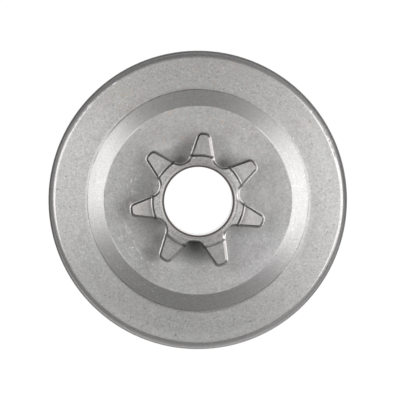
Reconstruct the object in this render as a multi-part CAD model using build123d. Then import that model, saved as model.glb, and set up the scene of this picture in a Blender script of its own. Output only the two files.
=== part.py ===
"""Chainsaw clutch drum with a seven-tooth spur sprocket.

A pressed steel cup takes the clutch shoes inside its wall. A sintered sprocket stands on the
cup's raised disc, with a spigot brazed into the hole in the middle of it.
Millimetres. +Z runs along the bore, from the open rim that the drum stands on to the sprocket.
The origin is the centre of that rim.
"""

from build123d import *
import math
import os

# Cup
DRUM_DIAMETER = 71.0
CUP_HEIGHT = 19.0  # open rim to the foot of the step
WALL_THICKNESS = 2.5
FACE_THICKNESS = 2.5
FACE_FALL = 0.4  # from the foot of the step to the outer corner
OUTER_CORNER_RADIUS = 1.8
INNER_CORNER_CHAMFER = 0.8
DISC_DIAMETER = 44.7  # raised disc in the middle of the face
DISC_RISE = 0.8
STEP_WIDTH = 4.2  # slope round the disc, measured along the radius
STEP_TOP_RADIUS = 0.6
STEP_FOOT_RADIUS = 5.0
RIM_CHAMFER = 0.4

# Sprocket
TEETH = 7
FIRST_TOOTH_ANGLE = 85.05  # degrees from +X
TIP_DIAMETER = 32.3
TIP_WIDTH = 2.95
TIP_CORNER_RADIUS = 1.4
FLANK_ANGLE = 14.0  # degrees between a flank and the middle of its tooth
TOOTH_LENGTH = 11.5  # along the bore
HUB_RING_WIDTH = 3.05  # from the bore to the rim of the raised ring
HUB_RING_RISE = 0.7
HUB_WALL = 1.7  # thinnest metal, from the bore to the floor of a gullet

# Pressed edge of the sprocket: a bevel on a narrow land, as the punch leaves it
BEVEL_WIDTH = 0.46
BEVEL_ANGLE = 25.0  # degrees from the face
LAND_WIDTH = 0.22
LAND_ANGLE = 12.0  # degrees from the face

# Bearing bore and brazed spigot
BORE_DIAMETER = 16.0
BORE_MOUTH_WIDTH = 0.45
BORE_MOUTH_ANGLE = 50.0  # degrees from the face
BORE_LIP_WIDTH = 0.45
BORE_LIP_ANGLE = 5.0  # degrees from the face
BORE_CHAMFER = 0.4  # at the end of the spigot
SPIGOT_WALL = 1.0
SPIGOT_STAND = 0.8  # how far the spigot stands out inside the cup
BRAZE_GAP = 0.03

# Sizes that follow
drum_radius = DRUM_DIAMETER / 2
disc_radius = DISC_DIAMETER / 2
disc_top = CUP_HEIGHT + DISC_RISE
bore_radius = BORE_DIAMETER / 2
tip_radius = TIP_DIAMETER / 2
ring_top = disc_top + TOOTH_LENGTH + HUB_RING_RISE
spigot_length = FACE_THICKNESS + SPIGOT_STAND
spigot_end = disc_top - spigot_length
spigot_radius = bore_radius + SPIGOT_WALL
hole_radius = spigot_radius + BRAZE_GAP
bevel_drop = BEVEL_WIDTH * math.tan(math.radians(BEVEL_ANGLE))
land_drop = LAND_WIDTH * math.tan(math.radians(LAND_ANGLE))


def half_section(*corners):
    """Half of a turned shape's section, through (radius, height) corners."""
    return make_face(Plane.XZ * Polyline(*corners, close=True))


def round_corner(section, corner, size):
    """Rounds the corner of a section that lies nearest to a (radius, height) pair."""
    radius, height = corner
    return fillet(section.vertices().sort_by_distance((radius, 0, height))[0], size)


def underside(corner, slope_before, slope_after):
    """The corner of the sheet's underside, one thickness below a corner of its outer face."""
    radius, height = corner
    middle = (slope_before + slope_after) / 2
    reach = FACE_THICKNESS / math.cos((slope_after - slope_before) / 2)
    return radius - reach * math.sin(middle), height - reach * math.cos(middle)


def make_cup():
    """The pressed cup: one section of even thickness, turned about the bore."""
    inner_radius = drum_radius - WALL_THICKNESS
    disc_edge = (disc_radius, disc_top)
    step_foot = (disc_radius + STEP_WIDTH, CUP_HEIGHT)
    outer_corner = (drum_radius, CUP_HEIGHT - FACE_FALL)
    step_slope = math.atan2(DISC_RISE, STEP_WIDTH)
    face_slope = math.atan2(FACE_FALL, drum_radius - step_foot[0])
    under_edge = underside(disc_edge, 0, step_slope)
    under_foot = underside(step_foot, step_slope, face_slope)
    inner_reach = inner_radius - INNER_CORNER_CHAMFER - under_foot[0]
    inner_floor = under_foot[1] - inner_reach * math.tan(face_slope)

    section = half_section(
        (inner_radius + RIM_CHAMFER, 0),
        (drum_radius - RIM_CHAMFER, 0),
        (drum_radius, RIM_CHAMFER),
        outer_corner,
        step_foot,
        disc_edge,
        (hole_radius, disc_top),
        (hole_radius, under_edge[1]),
        under_edge,
        under_foot,
        (inner_radius - INNER_CORNER_CHAMFER, inner_floor),
        (inner_radius, inner_floor - INNER_CORNER_CHAMFER),
        (inner_radius, RIM_CHAMFER),
    )
    section = round_corner(section, outer_corner, OUTER_CORNER_RADIUS)
    section = round_corner(section, disc_edge, STEP_TOP_RADIUS)
    section = round_corner(section, step_foot, STEP_FOOT_RADIUS)
    return revolve(section, Axis.Z)


def gullet():
    """The space between two teeth, along +X: two straight flanks on one round floor."""
    flank = math.radians(FLANK_ANGLE)
    half_angle = flank + math.pi / TEETH
    root_radius = bore_radius + HUB_WALL
    # The floor touches both flanks, which leave a tooth TIP_WIDTH wide at the tip circle.
    room = root_radius * math.sin(half_angle)
    room -= TIP_WIDTH / 2 * math.cos(flank) + tip_radius * math.sin(flank)
    floor_radius = room / (1 - math.sin(half_angle))
    centre = root_radius + floor_radius
    touch_x = centre - floor_radius * math.sin(half_angle)
    touch_y = floor_radius * math.cos(half_angle)
    mouth_x = touch_x + tip_radius * math.cos(half_angle)
    mouth_y = touch_y + tip_radius * math.sin(half_angle)
    return make_face(
        Line((mouth_x, -mouth_y), (touch_x, -touch_y))
        + ThreePointArc((touch_x, -touch_y), (root_radius, 0), (touch_x, touch_y))
        + Line((touch_x, touch_y), (mouth_x, mouth_y))
        + Line((mouth_x, mouth_y), (mouth_x, -mouth_y))
    )


def toothed_outline():
    """Plan of the sprocket: a disc with a gullet cut between each pair of teeth."""
    first_gullet = FIRST_TOOTH_ANGLE + 180 / TEETH
    cutter = gullet()
    outline = Circle(tip_radius) - [
        place * cutter for place in PolarLocations(0, TEETH, start_angle=first_gullet)
    ]
    tip_corners = outline.vertices().filter_by(
        lambda corner: math.isclose(math.hypot(corner.X, corner.Y), tip_radius, abs_tol=0.001)
    )
    return fillet(tip_corners, TIP_CORNER_RADIUS)


def bevelled_block(outline, height, width, drop):
    """A plan raised from the disc, with the edge of its top face bevelled."""
    block = extrude(Pos(0, 0, disc_top) * outline, height)
    top = block.faces().sort_by(Axis.Z)[-1]
    return chamfer(top.edges(), width, drop, reference=top)


def toothed_block(outline, length):
    """The teeth with the pressed edge round the top: a bevelled block on a wider one."""
    wide = bevelled_block(outline, length - bevel_drop, LAND_WIDTH, land_drop)
    narrow = bevelled_block(offset(outline, -LAND_WIDTH), length, BEVEL_WIDTH, bevel_drop)
    return wide + narrow


def ring_blank():
    """A turned blank that trims a toothed block to the raised ring, with the same pressed edge."""
    ring_radius = bore_radius + HUB_RING_WIDTH
    section = half_section(
        (0, disc_top),
        (ring_radius, disc_top),
        (ring_radius, ring_top - bevel_drop - land_drop),
        (ring_radius - LAND_WIDTH, ring_top - bevel_drop),
        (ring_radius - LAND_WIDTH - BEVEL_WIDTH, ring_top),
        (0, ring_top),
    )
    return revolve(section, Axis.Z)


def bore_core():
    """What the bearing bore takes out, with its bevelled mouth and the worn lip round that."""
    lip_foot = ring_top - BORE_LIP_WIDTH * math.tan(math.radians(BORE_LIP_ANGLE))
    mouth_foot = lip_foot - BORE_MOUTH_WIDTH * math.tan(math.radians(BORE_MOUTH_ANGLE))
    mouth_radius = bore_radius + BORE_MOUTH_WIDTH
    section = half_section(
        (0, spigot_end),
        (bore_radius + BORE_CHAMFER, spigot_end),
        (bore_radius, spigot_end + BORE_CHAMFER),
        (bore_radius, mouth_foot),
        (mouth_radius, lip_foot),
        (mouth_radius + BORE_LIP_WIDTH, ring_top),
        (0, ring_top),
    )
    return revolve(section, Axis.Z)


def make_sprocket():
    """The sintered sprocket: teeth, raised hub ring, spigot and bearing bore."""
    outline = toothed_outline()
    body = toothed_block(outline, TOOTH_LENGTH)
    body += toothed_block(outline, TOOTH_LENGTH + HUB_RING_RISE) & ring_blank()
    body += Pos(0, 0, spigot_end) * extrude(Circle(spigot_radius), spigot_length)
    return body - bore_core()


os.makedirs("parts", exist_ok=True)
for name, solid in {"drum_cup": make_cup(), "spur_sprocket": make_sprocket()}.items():
    export_step(solid, f"parts/{name}.step")
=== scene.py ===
"""Clutch drum of a chainsaw, seen along its bore from the sprocket's side.

The CAD frame gives the pressed cup and the brazed sprocket at their real size, in metres. This
script gives each its steel, then adds the floor, the lights and the camera. The picture's right
is +X and its top is +Y.
"""

import math

import bpy
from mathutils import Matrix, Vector

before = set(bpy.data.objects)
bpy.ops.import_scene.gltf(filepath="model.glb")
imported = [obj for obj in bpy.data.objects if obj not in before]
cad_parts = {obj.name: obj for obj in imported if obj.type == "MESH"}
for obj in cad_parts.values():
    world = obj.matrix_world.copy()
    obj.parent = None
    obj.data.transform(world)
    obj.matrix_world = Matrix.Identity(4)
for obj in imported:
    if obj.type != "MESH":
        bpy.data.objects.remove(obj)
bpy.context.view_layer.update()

scene = bpy.context.scene
scene.view_settings.view_transform = "Standard"


# Drum cup
# A shallow cup pressed from thick steel sheet. Tumbling left its flat faces matt and speckled,
# and the die left the sloping step and the outer corner smoother and brighter.
class Recipe:
    """The nodes of one material, or of the world, built up by short calls.

    A value is a number, a triple or the output of another node. Lengths are in metres.
    """

    def __init__(self, owner):
        owner.use_nodes = True
        self.nodes = owner.node_tree.nodes
        self.links = owner.node_tree.links

    def feed(self, value, socket):
        """Sets a socket to a number or a triple, or links another node to it."""
        if isinstance(value, (int, float)):
            socket.default_value = value
        elif isinstance(value, tuple):
            socket.default_value = value if len(socket.default_value) == 3 else (*value, 1.0)
        else:
            self.links.new(value, socket)

    def add(self, kind, inputs=(), **settings):
        """Adds a node of a kind, with its settings and the values of its inputs."""
        node = self.nodes.new("ShaderNode" + kind)
        for name, setting in settings.items():
            setattr(node, name, setting)
        for name, value in dict(inputs).items():
            self.feed(value, node.inputs[name])
        return node

    def along(self, vector, axis):
        """How far a vector runs along X, Y or Z."""
        return self.add("SeparateXYZ", {"Vector": vector}).outputs[axis]

    def spread(self, value, low, high, to_low=0.0, to_high=1.0):
        """Maps a value from one range to another, held at both ends."""
        ends = {"From Min": low, "From Max": high, "To Min": to_low, "To Max": to_high}
        return self.add("MapRange", {"Value": value, **ends}).outputs["Result"]

    def fall(self, value, low, high):
        """1 up to a low value, falling to 0 at a high one."""
        return self.spread(value, low, high, to_low=1.0, to_high=0.0)

    def blend(self, amount, first, second):
        """The first number where an amount is 0, and the second where it is 1."""
        return self.spread(amount, 0.0, 1.0, first, second)

    def combine(self, operation, first, second=0.0):
        """Works on one or two numbers."""
        return self.add("Math", {0: first, 1: second}, operation=operation).outputs["Value"]

    def product(self, first, *others):
        """Multiplies numbers."""
        for other in others:
            first = self.combine("MULTIPLY", first, other)
        return first

    def total(self, first, *others):
        """Adds numbers."""
        for other in others:
            first = self.combine("ADD", first, other)
        return first

    def largest(self, first, *others):
        """The largest of some numbers."""
        for other in others:
            first = self.combine("MAXIMUM", first, other)
        return first

    def away(self, value, middle):
        """How far a value is from another one, on either side."""
        return self.combine("ABSOLUTE", self.combine("SUBTRACT", value, middle))

    def band(self, value, middle, width):
        """1 at a value, falling to 0 at a width on either side of it."""
        return self.fall(self.away(value, middle), 0.0, width)

    def vector(self, operation, first, second, output="Vector"):
        """Works on two vectors."""
        return self.add("VectorMath", {0: first, 1: second}, operation=operation).outputs[output]

    def facing(self, vector, way):
        """How far a vector runs a given way."""
        return self.vector("DOT_PRODUCT", vector, way, "Value")

    def from_axis(self, place):
        """Distance from the bore's axis."""
        level = self.vector("MULTIPLY", place, (1.0, 1.0, 0.0))
        return self.vector("DISTANCE", level, (0.0, 0.0, 0.0), "Value")

    def near(self, place, middle, inner, outer):
        """1 within a distance of a point, falling to 0 at a greater one."""
        return self.fall(self.vector("DISTANCE", place, middle, "Value"), inner, outer)

    def tint(self, amount, first, second, blend_type="MIX"):
        """Mixes two colours by an amount."""
        inputs = {"Factor": amount, "A": first, "B": second}
        return self.add("Mix", inputs, data_type="RGBA", blend_type=blend_type).outputs["Result"]


class SteelRecipe(Recipe):
    """The finish of a steel piece round the bore's axis, laid on coat over coat.

    A place on it is given by its azimuth in degrees, 0 at +X and 90 at +Y, and by its reach, the
    distance from the axis.
    """

    def __init__(self, name, colour):
        self.material = bpy.data.materials.new(name)
        super().__init__(self.material)
        self.colour = colour
        self.place = self.add("TexCoord").outputs["Object"]
        self.normal = self.add("NewGeometry").outputs["Normal"]
        self.reach = self.from_axis(self.place)
        self.upright = self.along(self.normal, "Z")

    def coat(self, amount, colour):
        """Lays a colour over those before it, by an amount."""
        self.colour = self.tint(amount, self.colour, colour)

    def wash(self, amount, colour):
        """Multiplies the colours before it by another one, by an amount."""
        self.colour = self.tint(amount, self.colour, colour, blend_type="MULTIPLY")

    def towards(self, azimuth, half_angle):
        """1 at an azimuth, falling to 0 at an angle from it."""
        turn = math.radians(azimuth)
        ahead = (math.cos(turn), math.sin(turn), 0.0)
        run = self.combine("DIVIDE", self.facing(self.place, ahead), self.reach)
        return self.spread(run, math.cos(math.radians(half_angle)), 1.0)

    def stretch(self, azimuth, half_angle, strength):
        """A stretch of a ring, with its strength at an azimuth, and held at 1."""
        return self.combine("MINIMUM", self.product(self.towards(azimuth, half_angle), strength), 1.0)

    def patch(self, azimuth, half_angle, reach, width, strength=1.0):
        """A soft patch along an arc round the axis, with a half angle and a half width."""
        across = self.band(self.reach, reach, width)
        return self.product(across, self.towards(azimuth, half_angle), strength)

    def spot(self, azimuth, reach, radius, strength, height, core):
        """A soft round spot at a height, even within its core."""
        turn = math.radians(azimuth)
        middle = (reach * math.cos(turn), reach * math.sin(turn), height)
        return self.product(self.near(self.place, middle, core, radius), strength)

    def strongest(self, mark, rows, **shared):
        """The strongest of some marks of one kind, from a row of values for each."""
        return self.largest(*(mark(*row, **shared) for row in rows))

    def noise(self, size, detail=2.0, roughness=0.5, waves=0.0, place=None):
        """Soft noise with grains of about a size, drawn out into waves where that is given."""
        inputs = {
            "Vector": self.place if place is None else place,
            "Scale": 1.0 / size,
            "Detail": detail,
            "Roughness": roughness,
            "Distortion": waves,
        }
        return self.add("TexNoise", inputs).outputs["Fac"]

    def flecks(self, size, seed, low, high):
        """Sparse soft spots of about a size, where noise passes from low to high."""
        shifted = self.vector("ADD", self.place, (seed,) * 3)
        return self.spread(self.noise(size, detail=1.0, place=shifted), low, high)

    def turned(self, width, angle):
        """Coordinates for marks that run round the axis, of a width and an angle in radians."""
        split = self.add("SeparateXYZ", {"Vector": self.place}).outputs
        scale = self.combine("DIVIDE", 1.0 / angle, self.reach)
        marks = {
            "X": self.product(split["X"], scale),
            "Y": self.product(split["Y"], scale),
            "Z": self.product(self.total(self.reach, split["Z"]), 1.0 / width),
        }
        return self.add("CombineXYZ", marks).outputs["Vector"]

    def bump(self, height, depth, below=None):
        """A normal for a surface raised by a height map, over another normal where one is given."""
        inputs = {"Height": height, "Distance": depth}
        if below is not None:
            inputs["Normal"] = below
        return self.add("Bump", inputs).outputs["Normal"]

    def finish(self, roughness, normal):
        """Gives the metal its colour, its roughness and its normal."""
        metal = self.nodes["Principled BSDF"]
        metal.inputs["Metallic"].default_value = 1.0
        self.feed(self.colour, metal.inputs["Base Color"])
        self.feed(roughness, metal.inputs["Roughness"])
        self.feed(normal, metal.inputs["Normal"])


cup_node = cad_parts["drum_cup"]
DISC_TOP = max(vertex.co.z for vertex in cup_node.data.vertices)
FACE_TOP = DISC_TOP - 0.0010
CORNER_TOP = DISC_TOP - 0.0013
DISC_EDGE = (0.0222, 0.0226)  # reaches between which the disc gives way to the slope
FACE_EDGE = (0.0336, 0.0340)  # reaches between which the face gives way to the outer corner
FLAT_LEVEL = (0.986, 0.996)  # uprightness of the normal between slope and flat face
CUP_COOL = (0.532, 0.532, 0.529)
cup = SteelRecipe("tumbled_cup_steel", CUP_COOL)
cup_level = cup.combine("ABSOLUTE", cup.upright)
cup_flat = cup.spread(cup_level, *FLAT_LEVEL)
cup_sloped = cup.fall(cup_level, *FLAT_LEVEL)
cup_top = cup.spread(cup.upright, low=0.5, high=0.9)
cup_disc = cup.fall(cup.reach, *DISC_EDGE)
cup_corner = cup.spread(cup.reach, *FACE_EDGE)

# Faint cool and warm clouds on the flat faces, and the speckle of the tumbled steel over all. It
# has a coarser grain in it where the cup is flat, and is strongest on the face round the disc.
CUP_WARM = (0.560, 0.547, 0.528)
CUP_SLOPE_GREY = (0.507, 0.502, 0.492)
CUP_CORNER_GREY = (0.525, 0.511, 0.508)
CUP_DARK = (0.27, 0.265, 0.26)
CUP_BRIGHT = (0.87, 0.865, 0.855)
COARSE_SHARE = 0.35
SLOPE_SPECKLE = 0.29
FACE_SPECKLE = 0.56
DISC_SPECKLE = 0.38
cup_fine = cup.noise(size=0.00024, detail=1.5, roughness=0.6)
cup_coarse = cup.noise(size=0.00055, roughness=0.6)
cup_grain = cup.blend(cup.product(cup_flat, COARSE_SHARE), cup_fine, cup_coarse)
cup_cloud = cup.noise(size=0.0075)
cup.coat(cup.spread(cup_cloud, low=0.38, high=0.62), CUP_WARM)
cup.coat(cup_sloped, cup.tint(cup_corner, CUP_SLOPE_GREY, CUP_CORNER_GREY))
cup_speckle = cup.tint(cup.spread(cup_grain, low=0.30, high=0.70), CUP_DARK, CUP_BRIGHT)
cup_flat_speckle = cup.blend(cup_disc, FACE_SPECKLE, DISC_SPECKLE)
cup.coat(cup.blend(cup_flat, SLOPE_SPECKLE, cup_flat_speckle), cup_speckle)

# Painted shade darkens the flat faces on their upper side. Some patches are darker and others lighter,
# partly the finish and partly painted shade and painted highlight. A row is a patch's azimuth, half
# angle, reach, half width and strength.
FACE_UPPER_SHADE = 0.18
DISC_UPPER_SHADE = 0.05
DULL_AND_SHADE_PATCHES = (
    (355.0, 45.0, 0.0281, 0.0022, 0.22),
    (312.0, 40.0, 0.0300, 0.0060, 0.17),
    (216.0, 24.0, 0.0300, 0.0050, 0.14),
    (22.0, 50.0, 0.0350, 0.0010, 0.36),
    (0.0, 45.0, 0.0180, 0.0035, 0.13),
    (72.0, 20.0, 0.0203, 0.0028, 0.17),
    (108.0, 18.0, 0.0310, 0.0045, 0.20),
    (70.0, 16.0, 0.0320, 0.0030, 0.27),
    (54.0, 12.0, 0.0280, 0.0025, 0.26),
    (168.0, 14.0, 0.0256, 0.0014, 0.14),
)
BRIGHT_AND_HIGHLIGHT_PATCHES = (
    (258.0, 40.0, 0.0328, 0.0018, 0.30),
    (140.0, 18.0, 0.0247, 0.0024, 0.20),
    (318.0, 34.0, 0.0212, 0.0024, 0.22),
    (126.6, 16.0, 0.0146, 0.0028, 0.46),
    (48.0, 18.0, 0.0149, 0.0026, 0.30),
    (246.5, 15.0, 0.0158, 0.0030, 0.60),
    (283.0, 9.0, 0.0157, 0.0020, 0.26),
    (23.0, 16.0, 0.0315, 0.0024, 0.15),
    (149.0, 16.0, 0.0310, 0.0030, 0.08),
)
# Painted shade on the upper side, and patches of painted shade and highlight over the finish's own.
cup_upper_side = cup.towards(azimuth=74.0, half_angle=85.0)
cup_dull_and_shade = cup.product(cup_flat, cup_upper_side, cup.blend(cup_disc, FACE_UPPER_SHADE, DISC_UPPER_SHADE))
cup_dull_and_shade = cup.largest(cup_dull_and_shade, cup.strongest(cup.patch, DULL_AND_SHADE_PATCHES))
cup.coat(cup.product(cup_dull_and_shade, cup_top), CUP_DARK)
cup.coat(cup.product(cup.strongest(cup.patch, BRIGHT_AND_HIGHLIGHT_PATCHES), cup_top), CUP_BRIGHT)

# Fine marks run round the axis, from the press tool and from turning the wall.
cup_streak = cup.noise(size=1.0, place=cup.turned(width=0.00035, angle=0.5))
cup_turned = cup.spread(cup_level, low=0.3, high=0.9, to_low=1.0, to_high=0.25)
cup_ridge = cup.spread(cup_streak, low=0.55, high=0.72, to_low=0.0, to_high=0.35)
cup_groove = cup.spread(cup_streak, low=0.30, high=0.45, to_low=0.25, to_high=0.0)
cup.coat(cup.product(cup_ridge, cup_turned), CUP_BRIGHT)
cup.coat(cup.product(cup_groove, cup_turned), CUP_DARK)

# Wear: soft mottling of the flat faces, short scuffs at the disc's left and lower left, pale and
# dark pits, and flecks of copper from the braze on the upper side.
CUP_SCUFF = (0.90, 0.895, 0.885)
CUP_COPPER = (0.70, 0.52, 0.42)
FACE_MOTTLE = 0.12
DISC_MOTTLE = 0.19
SCUFFED_PATCHES = (
    (213.0, 42.0, 0.0190, 0.0034),
    (166.0, 30.0, 0.0162, 0.0034),
)
SCUFF_STRENGTH = 0.8
PALE_PITS = 0.5
SLOPE_PITS = 0.25
FLAT_PITS = 0.65
DISC_PITS_SHARE = 0.6
COPPER_STRENGTH = 0.28
cup_mottle = cup.noise(size=0.0014, roughness=0.6, waves=1.2)
cup_mottled = cup.product(cup_flat, cup.blend(cup_disc, FACE_MOTTLE, DISC_MOTTLE))
cup.coat(cup.product(cup.spread(cup_mottle, low=0.52, high=0.68), cup_mottled), CUP_BRIGHT)
cup.coat(cup.product(cup.fall(cup_mottle, low=0.32, high=0.48), cup_mottled), CUP_DARK)

cup_scuffs = cup.noise(size=1.0, detail=1.0, place=cup.turned(width=0.00034, angle=0.08))
cup_scuffs = cup.spread(cup_scuffs, low=0.56, high=0.70)
cup_scuffed = cup.product(cup.strongest(cup.patch, SCUFFED_PATCHES), cup_top)
cup.coat(cup.product(cup_scuffs, cup_scuffed, SCUFF_STRENGTH), CUP_SCUFF)

cup_pale_areas = cup.spread(cup.noise(size=0.006), low=0.44, high=0.62, to_high=PALE_PITS)
cup_pale_pits = cup.flecks(size=0.00055, seed=0.1, low=0.64, high=0.74)
cup.coat(cup.product(cup_pale_pits, cup.largest(cup_pale_areas, cup_scuffed)), CUP_SCUFF)
cup_dark_areas = cup.blend(cup_flat, SLOPE_PITS, FLAT_PITS)
cup_dark_areas = cup.product(cup_dark_areas, cup.blend(cup_disc, 1.0, DISC_PITS_SHARE))
cup_dark_pits = cup.flecks(size=0.00060, seed=0.2, low=0.66, high=0.74)
cup.coat(cup.product(cup_dark_pits, cup_dark_areas), CUP_DARK)
cup_above = cup.product(cup.towards(azimuth=90.0, half_angle=90.0), cup_top, cup_flat)
cup_copper = cup.flecks(size=0.0011, seed=0.3, low=0.60, high=0.74)
cup.coat(cup.product(cup_copper, cup_above, COPPER_STRENGTH), CUP_COPPER)

# A brown stain lies along the foot of the step at the upper left, with an olive one outside it,
# and a violet temper colour on the disc's lower right.
CUP_BROWN = (0.36, 0.28, 0.22)
CUP_OLIVE = (0.47, 0.45, 0.34)
CUP_VIOLET = (0.985, 0.965, 1.0)
cup_stain = cup.spread(cup.noise(size=0.0012), low=0.42, high=0.62)
cup_brown = cup.patch(azimuth=126.0, half_angle=15.0, reach=0.0270, width=0.0014, strength=0.6)
cup.coat(cup.product(cup_brown, cup_stain), CUP_BROWN)
cup_olive = cup.spot(
    azimuth=126.9, reach=0.03064, radius=0.0036, strength=0.45, height=FACE_TOP, core=0.0004
)
cup.coat(cup.product(cup_olive, cup_stain), CUP_OLIVE)
cup_violet = cup.spot(
    azimuth=317.2, reach=0.0184, radius=0.0095, strength=1.0, height=DISC_TOP, core=0.002
)
cup_tempered = cup.spread(cup_cloud, low=0.35, high=0.60, to_low=0.5, to_high=1.0)
cup.wash(cup.product(cup_violet, cup_tempered, cup_top), CUP_VIOLET)

# Painted shade lies on the disc round the sprocket's foot, where the teeth shade it, most of it at the
# left and in the gullets. A row is a spot's azimuth, reach, radius and strength.
CUP_PAINTED_SHADE = (0.10, 0.097, 0.095)
DISC_SHADE_SPOTS = (
    (267.0, 0.0109, 0.0050, 0.70),
    (102.0, 0.0115, 0.0043, 0.38),
    (113.0, 0.0098, 0.0026, 0.52),
    (53.0, 0.0101, 0.0026, 0.44),
    (226.0, 0.0132, 0.0040, 0.46),
    (172.0, 0.0125, 0.0032, 0.26),
    (183.0, 0.0158, 0.0034, 0.42),
    (188.0, 0.0176, 0.0036, 0.32),
    (205.0, 0.0188, 0.0030, 0.12),
    (228.0, 0.0167, 0.0036, 0.40),
    (234.0, 0.0206, 0.0040, 0.14),
)
cup_foot_shade = cup.product(
    cup.spread(cup.reach, low=0.0140, high=0.0195, to_low=0.36, to_high=0.0),
    cup.towards(azimuth=195.0, half_angle=66.0),
)
cup_foot_shade = cup.largest(cup_foot_shade, cup.strongest(cup.spot, DISC_SHADE_SPOTS, height=DISC_TOP, core=0.001))
cup.coat(cup.product(cup_foot_shade, cup_disc), CUP_PAINTED_SHADE)

# A fine dark line marks the foot of the step. It comes and goes, is faintest at the bottom and
# the upper right, and is strongest at the left. A row is a stretch's azimuth, half angle and strength.
CUP_LINE = (0.20, 0.19, 0.185)
STEP_FOOT = 0.02622
FOOT_LINE_WIDTH = 0.00018
FAINT_LINE = 0.35
LEFT_LINE = 1.4
LEFT_STRETCHES = (
    (135.0, 14.0, 1.0),
    (220.0, 30.0, 0.6),
)
cup_foot = cup.band(cup.reach, STEP_FOOT, FOOT_LINE_WIDTH)
cup_foot_line = cup.product(
    cup_foot,
    cup.spread(cup.noise(size=0.004), low=0.35, high=0.60, to_low=FAINT_LINE, to_high=0.90),
    cup.blend(cup.towards(azimuth=278.0, half_angle=30.0), 1.0, FAINT_LINE),
    cup.blend(cup.stretch(azimuth=40.0, half_angle=30.0, strength=2.0), 1.0, FAINT_LINE),
)
cup_left_line = cup.product(cup_foot, cup.strongest(cup.stretch, LEFT_STRETCHES), LEFT_LINE)
cup.coat(cup.largest(cup_foot_line, cup_left_line), CUP_LINE)

# Partly rubbed wear and partly painted highlight brighten the edges of the disc and of the face in
# stretches. The face's edge has two nicks at the upper right.
CUP_WEAR_AND_HIGHLIGHT = (0.97, 0.97, 0.96)
CUP_NICK = (0.97, 0.90, 0.88)
DISC_RIM = 0.02222
DISC_RIM_WIDTH = 0.00024
DISC_WEAR_AND_HIGHLIGHT = 0.9
DISC_WEAR_HIGHLIGHT_STRETCHES = (
    (210.0, 15.0, 0.7),
    (150.0, 25.0, 2.0),
    (31.0, 22.0, 2.0),
    (333.0, 13.0, 0.6),
)
FACE_RIM = 0.03394
FACE_RIM_WIDTH = 0.00020
FACE_WEAR_HIGHLIGHT_STRETCHES = (
    (30.0, 24.0, 0.6),
    (332.0, 18.0, 0.6),
    (147.0, 18.0, 0.2),
    (188.0, 18.0, 0.6),
)
NICKS = (
    (38.06, 0.03416, 0.00045, 0.8),
    (25.03, 0.03418, 0.00045, 0.8),
)
cup_disc_rim = cup.band(cup.reach, DISC_RIM, DISC_RIM_WIDTH)
cup.coat(cup.product(cup_disc_rim, cup.strongest(cup.stretch, DISC_WEAR_HIGHLIGHT_STRETCHES), DISC_WEAR_AND_HIGHLIGHT), CUP_WEAR_AND_HIGHLIGHT)
cup_face_rim = cup.band(cup.reach, FACE_RIM, FACE_RIM_WIDTH)
cup.coat(cup.product(cup_face_rim, cup.strongest(cup.stretch, FACE_WEAR_HIGHLIGHT_STRETCHES)), CUP_WEAR_AND_HIGHLIGHT)
cup.coat(cup.strongest(cup.spot, NICKS, height=CORNER_TOP, core=0.00015), CUP_NICK)

# The slope is glossier than the flat faces. The grain and the turned marks give both a fine relief.
SLOPE_ROUGHNESS = 0.29
FLAT_ROUGHNESS = 0.37
GRAIN_DEPTH = 0.000008
STREAK_DEPTH = 0.000004
cup_raised = cup.bump(cup_grain, GRAIN_DEPTH)
cup_raised = cup.bump(cup.product(cup_streak, cup_turned), STREAK_DEPTH, below=cup_raised)
cup.finish(cup.blend(cup_flat, SLOPE_ROUGHNESS, FLAT_ROUGHNESS), cup_raised)
cup_node.material_slots[0].material = cup.material


# Spur sprocket
# Pressed and sintered from steel powder, then brazed into the cup by its spigot. Its faces are
# tumbled like the cup, and its bevel and flanks keep a dark skin with fine lines from the press.
RING_RISE = 0.0007  # of the raised ring over the teeth
sprocket_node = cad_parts["spur_sprocket"]
TOOTH_FACE = max(vertex.co.z for vertex in sprocket_node.data.vertices) - RING_RISE
BORE_EDGE = (0.0085, 0.0088)  # reaches between which the bore's mouth gives way to the ring
RING_EDGE = (0.0103, 0.0109)  # reaches between which the ring gives way to the teeth
SPROCKET_GREY = (0.495, 0.49, 0.48)
sprocket = SteelRecipe("sintered_sprocket_steel", SPROCKET_GREY)
sprocket_x = sprocket.along(sprocket.place, "X")
sprocket_y = sprocket.along(sprocket.place, "Y")
sprocket_z = sprocket.along(sprocket.place, "Z")
sprocket_sideways = sprocket.combine("ABSOLUTE", sprocket.combine("DIVIDE", sprocket_x, sprocket.reach))
sprocket_ring = sprocket.fall(sprocket.reach, *RING_EDGE)
sprocket_tops = sprocket.spread(sprocket.upright, low=0.95, high=0.99)
sprocket_bevel = sprocket.spread(sprocket.upright, low=0.60, high=0.85)

# The speckle of the tumbled faces, stronger on the ring, which is blotched as well.
SPROCKET_WARM = (0.52, 0.50, 0.48)
SPROCKET_DARK = (0.27, 0.265, 0.255)
SPROCKET_BRIGHT = (0.88, 0.87, 0.86)
TOOTH_SPECKLE = 0.36
RING_SPECKLE = 0.50
BLOT_STRENGTH = 0.25
sprocket_grain = sprocket.noise(size=0.00042, roughness=0.65)
sprocket_speckle = sprocket.spread(sprocket_grain, low=0.30, high=0.70)
sprocket_speckle = sprocket.tint(sprocket_speckle, SPROCKET_DARK, SPROCKET_BRIGHT)
sprocket_cloud = sprocket.noise(size=0.003)
sprocket.coat(sprocket.spread(sprocket_cloud, low=0.38, high=0.62), SPROCKET_WARM)
sprocket.coat(sprocket.blend(sprocket_ring, TOOTH_SPECKLE, RING_SPECKLE), sprocket_speckle)
sprocket_blots = sprocket.flecks(size=0.0011, seed=0.4, low=0.54, high=0.70)
sprocket.coat(sprocket.product(sprocket_blots, sprocket_ring, BLOT_STRENGTH), SPROCKET_DARK)

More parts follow.
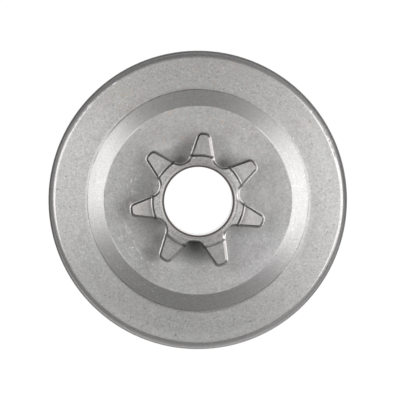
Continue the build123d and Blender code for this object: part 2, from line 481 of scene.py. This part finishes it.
# The dark skin, with the lines of the press up the flanks.
SKIN_DARK = (0.275, 0.265, 0.26)
SKIN_PALE = (0.36, 0.35, 0.34)
PRESS_STRETCH = (1.0, 1.0, 0.06)
press_place = sprocket.vector("MULTIPLY", sprocket.place, PRESS_STRETCH)
press_lines = sprocket.spread(sprocket.noise(size=0.0004, place=press_place), low=0.42, high=0.68)
sprocket_flanks = sprocket.fall(sprocket.upright, low=0.3, high=0.6)
skin = sprocket.tint(sprocket.product(press_lines, sprocket_flanks), SKIN_DARK, SKIN_PALE)

# Painted highlight makes the skin on the bevel paler: in the gullets, but less so at the left, on the
# lower side of ring and teeth, and where the lower right flank starts.
BEVEL_PAINTED_HIGHLIGHT = (0.66, 0.65, 0.64)
LEFT_HIGHLIGHT = 0.3
TEETH_HIGHLIGHT = 0.3
lower_side = sprocket.towards(azimuth=265.0, half_angle=60.0)
gullet_inner = sprocket.spread(sprocket_sideways, low=0.85, high=0.95, to_low=0.75, to_high=0.45)
gullet_outer = sprocket.spread(sprocket_sideways, low=0.85, high=0.95, to_low=0.15, to_high=0.45)
bevel_in_gullets = sprocket.product(
    sprocket.spread(sprocket.reach, low=0.0092, high=0.0094, to_low=gullet_inner, to_high=gullet_outer),
    sprocket.fall(sprocket.reach, low=0.0098, high=0.0103),
    sprocket.blend(sprocket.towards(azimuth=162.0, half_angle=40.0), 1.0, LEFT_HIGHLIGHT),
)
bevel_below = sprocket.product(
    lower_side,
    sprocket.fall(sprocket.along(sprocket.normal, "Y"), low=-0.38, high=-0.25),
    sprocket.spread(sprocket.reach, low=0.0112, high=0.0118, to_low=1.0, to_high=TEETH_HIGHLIGHT),
)
flank_highlight = sprocket.stretch(azimuth=308.0, half_angle=7.0, strength=0.6)
bevel_painted_highlight = sprocket.largest(bevel_in_gullets, bevel_below, flank_highlight)
skin = sprocket.tint(sprocket.product(bevel_painted_highlight, sprocket_bevel), skin, BEVEL_PAINTED_HIGHLIGHT)

# Painted shade darkens the skin at the left edges of the top tooth and of the left tooth's tip, and at
# the right edge of the ring.
SPROCKET_PAINTED_SHADE = (0.10, 0.096, 0.093)
top_tooth = sprocket.product(
    sprocket.towards(azimuth=85.0, half_angle=14.0),
    sprocket.spread(sprocket.reach, low=0.0112, high=0.0118),
)
left_tip = sprocket.product(
    sprocket.towards(azimuth=188.0, half_angle=12.0),
    sprocket.spread(sprocket.reach, low=0.0145, high=0.0152),
)
left_edge_shade = sprocket.product(
    sprocket.largest(top_tooth, left_tip),
    sprocket.fall(sprocket.along(sprocket.normal, "X"), low=-0.34, high=-0.22),
    sprocket.spread(sprocket.upright, low=0.80, high=0.88),
)
ring_right_shade = sprocket.product(
    sprocket.patch(azimuth=0.0, half_angle=50.0, reach=0.0106, width=0.0004),
    sprocket.fall(sprocket.upright, low=0.935, high=0.950),
)
skin = sprocket.tint(sprocket.largest(left_edge_shade, ring_right_shade), skin, SPROCKET_PAINTED_SHADE)
skinned = sprocket.product(
    sprocket.fall(sprocket.upright, low=0.92, high=0.96),
    sprocket.spread(sprocket.reach, *BORE_EDGE),
)
sprocket.coat(skinned, skin)

# Painted shade carries the teeth's dark edge on over the rim of the ring, but for three bright flanks.
TEETH = 7
FIRST_TOOTH = 85.05  # azimuth
CROSSING_STRENGTH = 0.9
BRIGHT_FLANKS = (  # azimuth and half angle of each
    (72.0, 8.0),
    (226.3, 8.0),
    (304.5, 8.0),
)
sprocket_turn = sprocket.combine("ARCTAN2", sprocket_y, sprocket_x)
from_first_tooth = sprocket.combine("SUBTRACT", sprocket_turn, math.radians(FIRST_TOOTH))
tooth_wave = sprocket.combine("COSINE", sprocket.product(from_first_tooth, TEETH))
bright_flanks = sprocket.strongest(sprocket.towards, BRIGHT_FLANKS)
ring_crossing_shade = sprocket.product(
    sprocket.fall(bright_flanks, low=0.0, high=0.4),
    sprocket.fall(tooth_wave, low=0.10, high=0.30),
    sprocket.spread(sprocket.reach, low=0.0105, high=0.0107),
    sprocket.fall(sprocket.reach, low=0.0111, high=0.0112),
    sprocket_bevel,
    CROSSING_STRENGTH,
)
sprocket.coat(ring_crossing_shade, SPROCKET_PAINTED_SHADE)

# Painted shade darkens the teeth by the foot of the ring at the left and right, where the ring's step
# shades them, and a fine dark line runs along the foot below.
STEP_SHADE_THICKNESS = 0.0001
STEP_SHADE_STRENGTH = 0.95
ring_step_shade = sprocket.product(
    sprocket.fall(sprocket.reach, low=0.0111, high=0.0122),
    sprocket.fall(sprocket_z, TOOTH_FACE, TOOTH_FACE + STEP_SHADE_THICKNESS),
    sprocket.spread(sprocket_sideways, low=0.2, high=1.0, to_high=STEP_SHADE_STRENGTH),
    sprocket.spread(sprocket.upright, low=0.90, high=0.99),
)
ring_line = sprocket.product(sprocket.band(sprocket.reach, middle=0.01092, width=0.00020), lower_side)
sprocket.coat(sprocket.largest(ring_step_shade, ring_line), SPROCKET_DARK)

# Painted shade darkens the ring at its top and bottom, and the lip round the bore at the lower left.
# The bore itself is browner.
BORE_BROWN = (0.45, 0.41, 0.395)
ring_top_bottom_shade = sprocket.product(
    sprocket.band(sprocket.reach, middle=0.0095, width=0.0010),
    sprocket.spread(sprocket_sideways, low=0.30, high=0.85, to_low=0.36, to_high=0.0),
)
bore_lip_shade = sprocket.patch(azimuth=235.0, half_angle=110.0, reach=0.0087, width=0.0003, strength=0.8)
sprocket.coat(sprocket.largest(ring_top_bottom_shade, bore_lip_shade), SPROCKET_DARK)
sprocket_bore = sprocket.spread(sprocket.reach, low=0.0084, high=0.0087, to_low=0.85, to_high=0.0)
sprocket.coat(sprocket_bore, BORE_BROWN)

# The teeth are darker towards their tips. Some spots on them are darker and two lighter, partly the
# finish and partly painted shade and highlight. The left tooth has a warm stain. Painted glints lie on
# the ring towards its rim.
SPROCKET_STAIN = (0.56, 0.50, 0.45)
TOOTH_DARK_AND_SHADE_SPOTS = (
    (188.0, 0.0119, 0.0022, 0.30),
    (33.6, 0.0145, 0.0030, 0.17),
    (291.0, 0.0130, 0.0030, 0.10),
    (85.0, 0.0128, 0.0030, 0.06),
)
TOOTH_LIGHT_AND_HIGHLIGHT_SPOTS = (
    (187.87, 0.01534, 0.0022, 0.300),
    (238.90, 0.01413, 0.0026, 0.165),
)
PAINTED_GLINT_STRENGTH = 0.8
tip_darkening = sprocket.spread(sprocket.reach, low=0.0122, high=0.0145, to_low=0.0, to_high=0.16)
sprocket.coat(sprocket.product(tip_darkening, sprocket_tops), SPROCKET_DARK)
tooth_dark_and_shade = sprocket.strongest(sprocket.spot, TOOTH_DARK_AND_SHADE_SPOTS, height=TOOTH_FACE, core=0.0008)
sprocket.coat(sprocket.product(tooth_dark_and_shade, sprocket_tops), SPROCKET_DARK)
tooth_light_and_highlight = sprocket.strongest(sprocket.spot, TOOTH_LIGHT_AND_HIGHLIGHT_SPOTS, height=TOOTH_FACE, core=0.0006)
sprocket.coat(sprocket.product(tooth_light_and_highlight, sprocket_tops), SPROCKET_BRIGHT)
tooth_stain = sprocket.spot(
    azimuth=187.8, reach=0.01474, radius=0.0024, strength=1.0, height=TOOTH_FACE, core=0.0004
)
stained_grain = sprocket.spread(sprocket_grain, low=0.4, high=0.6, to_low=0.1, to_high=0.5)
sprocket.coat(sprocket.product(tooth_stain, stained_grain), SPROCKET_STAIN)
painted_ring_glints = sprocket.flecks(size=0.00042, seed=0.5, low=0.58, high=0.68)
ring_shoulder = sprocket.band(sprocket.reach, middle=0.0102, width=0.0004)
sprocket.coat(sprocket.product(painted_ring_glints, ring_shoulder, PAINTED_GLINT_STRENGTH), SPROCKET_BRIGHT)

# Painted shade of the lowest gullet blackens the pressed edge above it.
SPROCKET_GULLET_SHADE = (0.07, 0.068, 0.066)
edge_gullet_shade = sprocket.product(
    sprocket.spread(sprocket.reach, low=0.00912, high=0.00945),
    sprocket.towards(azimuth=265.0, half_angle=18.0),
    sprocket.fall(sprocket.upright, low=0.985, high=0.998),
)
sprocket.coat(edge_gullet_shade, SPROCKET_GULLET_SHADE)

# Painted highlights make the edges of the faces pale, here more and there less.
EDGE_WIDTH = 0.00020
rounded_normal = sprocket.add("Bevel", {"Radius": EDGE_WIDTH}, samples=6).outputs["Normal"]
face_edge_highlights = sprocket.product(
    sprocket.fall(sprocket.facing(rounded_normal, sprocket.normal), low=0.985, high=0.998),
    sprocket.spread(sprocket.upright, low=0.990, high=0.998),
    sprocket.spread(sprocket_cloud, low=0.35, high=0.60, to_low=0.15, to_high=0.60),
)
sprocket.coat(face_edge_highlights, SPROCKET_BRIGHT)

# The skin is glossy, the faces are matt and the bore's mouth is the roughest. The faces fall a little
# both ways from the middle of the ring, and the grain roughens them.
SKIN_ROUGHNESS = 0.12
TOOTH_ROUGHNESS = 0.325
MOUTH_ROUGHNESS = 0.36  # on top of the skin's
FACE_CREST = 0.0093
FACE_LEAN = 0.05
POWDER_DEPTH = 0.000007
sprocket_gloss = sprocket.spread(
    sprocket.upright, low=0.930, high=0.995, to_low=SKIN_ROUGHNESS, to_high=TOOTH_ROUGHNESS
)
bore_mouth = sprocket.product(
    sprocket.spread(sprocket.reach, low=0.0084, high=0.0086, to_low=MOUTH_ROUGHNESS, to_high=0.0),
    sprocket.spread(sprocket.upright, low=0.2, high=0.4),
)
sprocket_lean = sprocket.product(sprocket.away(sprocket.reach, FACE_CREST), -FACE_LEAN)
sprocket_raised = sprocket.bump(sprocket_lean, depth=1.0)
sprocket_raised = sprocket.bump(sprocket_grain, POWDER_DEPTH, below=sprocket_raised)
sprocket.finish(sprocket.total(sprocket_gloss, bore_mouth), sprocket_raised)
sprocket_node.material_slots[0].material = sprocket.material


# Floor
# A plain white sheet under the drum. It reads as white and keeps the drum's soft shadow. In the
# metal it shows dimmer, but for its front, the ground near the drum and what lies under the bore.
FLOOR_SIZE = 12.0
FLOOR_DROP = 0.0002
PAPER_WHITE = 0.9
SEEN_PAPER = 0.12
SEEN_GLOW = 0.955
MIRRORED_PAPER = 0.18
MIRRORED_GLOW = 0.05
FRONT_GLOW = 0.5
FRONT_START = (-0.08, -0.02)  # places along Y between which the front's glow dies away
NEAR_GLOW = 0.25
NEAR_MIDDLE = (0.014, 0.004, 0.0)
NEAR_REACH = (0.040, 0.075)  # distances between which the near ground's glow dies away
BORE_SIGHT = 0.0085
bpy.ops.mesh.primitive_plane_add(size=FLOOR_SIZE, location=(0.0, 0.0, -FLOOR_DROP))
floor = bpy.context.object
floor.name = "floor"
white_sheet = bpy.data.materials.new("white_sheet")
sheet = Recipe(white_sheet)
sheet.nodes.remove(sheet.nodes["Principled BSDF"])
path = sheet.add("LightPath").outputs
seen = sheet.largest(path["Is Camera Ray"], path["Is Transmission Ray"])
mirrored = path["Is Glossy Ray"]
paper_colour = sheet.tint(mirrored, (PAPER_WHITE,) * 3, (MIRRORED_PAPER,) * 3)
paper_colour = sheet.tint(seen, paper_colour, (SEEN_PAPER,) * 3)
paper = sheet.add("BsdfDiffuse", {"Color": paper_colour})

sheet_place = sheet.add("TexCoord").outputs["Object"]
under_bore = sheet.combine("LESS_THAN", sheet.from_axis(sheet_place), BORE_SIGHT)
front_glow = sheet.product(sheet.fall(sheet.along(sheet_place, "Y"), *FRONT_START), FRONT_GLOW)
near_glow = sheet.product(sheet.near(sheet_place, NEAR_MIDDLE, *NEAR_REACH), NEAR_GLOW)
mirrored_glow = sheet.total(sheet.largest(front_glow, near_glow), MIRRORED_GLOW)
mirrored_glow = sheet.largest(mirrored_glow, under_bore)
seen_glow = sheet.largest(under_bore, SEEN_GLOW)
strength = sheet.total(sheet.product(seen, seen_glow), sheet.product(mirrored, mirrored_glow))
glow = sheet.add("Emission", {"Strength": strength})
surface = sheet.add("AddShader", {0: paper.outputs["BSDF"], 1: glow.outputs["Emission"]})
sheet.feed(surface.outputs["Shader"], sheet.nodes["Material Output"].inputs["Surface"])
floor.data.materials.append(white_sheet)


# Lights
# Soft panels stand at the left and right, with dimmer ones lower at the right and front right. The
# room over its white horizon is dim, and darkest overhead. It has a pale window and a dark wall at
# the back, a pale far corner, and a pale strip and a dark one at the front.
DRUM_TOP = Vector((0.0, 0.0, 0.02))
PANEL_RANGE = 0.41


def soft_panel(name, azimuth, elevation, width, length, brightness):
    """An area light that faces the drum, seen from its top at two angles in degrees. 1 is white."""
    turn = math.radians(azimuth)
    rise = math.radians(elevation)
    level = PANEL_RANGE * math.cos(rise)
    offset = Vector((level * math.cos(turn), level * math.sin(turn), PANEL_RANGE * math.sin(rise)))
    light = bpy.data.lights.new(name, "AREA")
    light.shape = "RECTANGLE"
    light.size = width
    light.size_y = length
    light.energy = brightness * math.pi * width * length
    panel = bpy.data.objects.new(name, light)
    panel.location = DRUM_TOP + offset
    panel.rotation_euler = (-offset).to_track_quat("-Z", "Y").to_euler()
    panel.visible_camera = False
    scene.collection.objects.link(panel)


soft_panel("right_panel", azimuth=2.6, elevation=59.0, width=0.225, length=0.35, brightness=1.78)
soft_panel("left_panel", azimuth=168.9, elevation=63.3, width=0.17, length=0.273, brightness=1.87)
soft_panel("low_right_panel", azimuth=3.0, elevation=40.0, width=0.28, length=0.09, brightness=0.65)
soft_panel("low_front_panel", azimuth=-45.0, elevation=40.0, width=0.20, length=0.10, brightness=0.4)

HORIZON_LIGHT = 1.0
HORIZON_SPAN = (0.06, 0.09)  # a span is how far a direction runs a way, where a light starts and ends
ROOM_LIGHT = 0.325
DARKEST_LIGHT = 0.07
DARKEST_WAY = (0.0, 0.19, 0.9818)
DARKEST_SPAN = (0.866, 0.985)
WINDOW_LIGHT = 0.33
WALL_LIGHT = -0.14
WALL_WAY = (-0.423, 0.906, 0.0)
CORNER_LIGHT = 0.12
CORNER_WAY = (0.5, 0.866, 0.0)
CORNER_SPAN = (0.72, 0.90)
FRONT_LIGHT = 0.16
FRONT_SHADE = -0.10
world = bpy.data.worlds.new("room")
scene.world = world
room = Recipe(world)
direction = room.add("TexCoord").outputs["Generated"]
back = room.along(direction, "Y")
wall_facing = room.facing(direction, WALL_WAY)
room_light = room.total(
    room.spread(room.along(direction, "Z"), *HORIZON_SPAN, HORIZON_LIGHT, ROOM_LIGHT),
    room.spread(room.facing(direction, DARKEST_WAY), *DARKEST_SPAN, 0.0, DARKEST_LIGHT - ROOM_LIGHT),
    room.product(room.band(back, middle=0.375, width=0.17), WINDOW_LIGHT),
    room.product(room.band(wall_facing, middle=0.75, width=0.2), WALL_LIGHT),
    room.product(room.band(back, middle=-0.88, width=0.12), FRONT_LIGHT),
    room.product(room.band(back, middle=-0.39, width=0.14), FRONT_SHADE),
    room.spread(room.facing(direction, CORNER_WAY), *CORNER_SPAN, 0.0, CORNER_LIGHT),
)
background = room.nodes["Background"]
background.inputs["Color"].default_value = (1.0, 1.0, 1.0, 1.0)
room.feed(room_light, background.inputs["Strength"])


# Camera
# A long lens most of a metre above the drum. It looks down the bore from a little up and left of
# it, as the photograph does.
CAMERA_RANGE = 0.8
WALL_TOP = 0.0172
CAMERA_PLACE = Vector((-0.0075, 0.0155, WALL_TOP + CAMERA_RANGE))
FRAME_MIDDLE = Vector((0.00052, 0.00001, WALL_TOP))
FRAME_WIDTH = 0.09504
SENSOR_WIDTH = 36.0  # millimetres, like the lens
camera_data = bpy.data.cameras.new("camera")
camera_data.sensor_width = SENSOR_WIDTH
camera_data.lens = SENSOR_WIDTH * CAMERA_RANGE / FRAME_WIDTH
camera = bpy.data.objects.new("camera", camera_data)
camera.location = CAMERA_PLACE
sight = FRAME_MIDDLE - CAMERA_PLACE
camera.rotation_euler = (math.atan2(sight.y, -sight.z), -math.atan2(sight.x, -sight.z), 0.0)
scene.collection.objects.link(camera)
scene.camera = camera
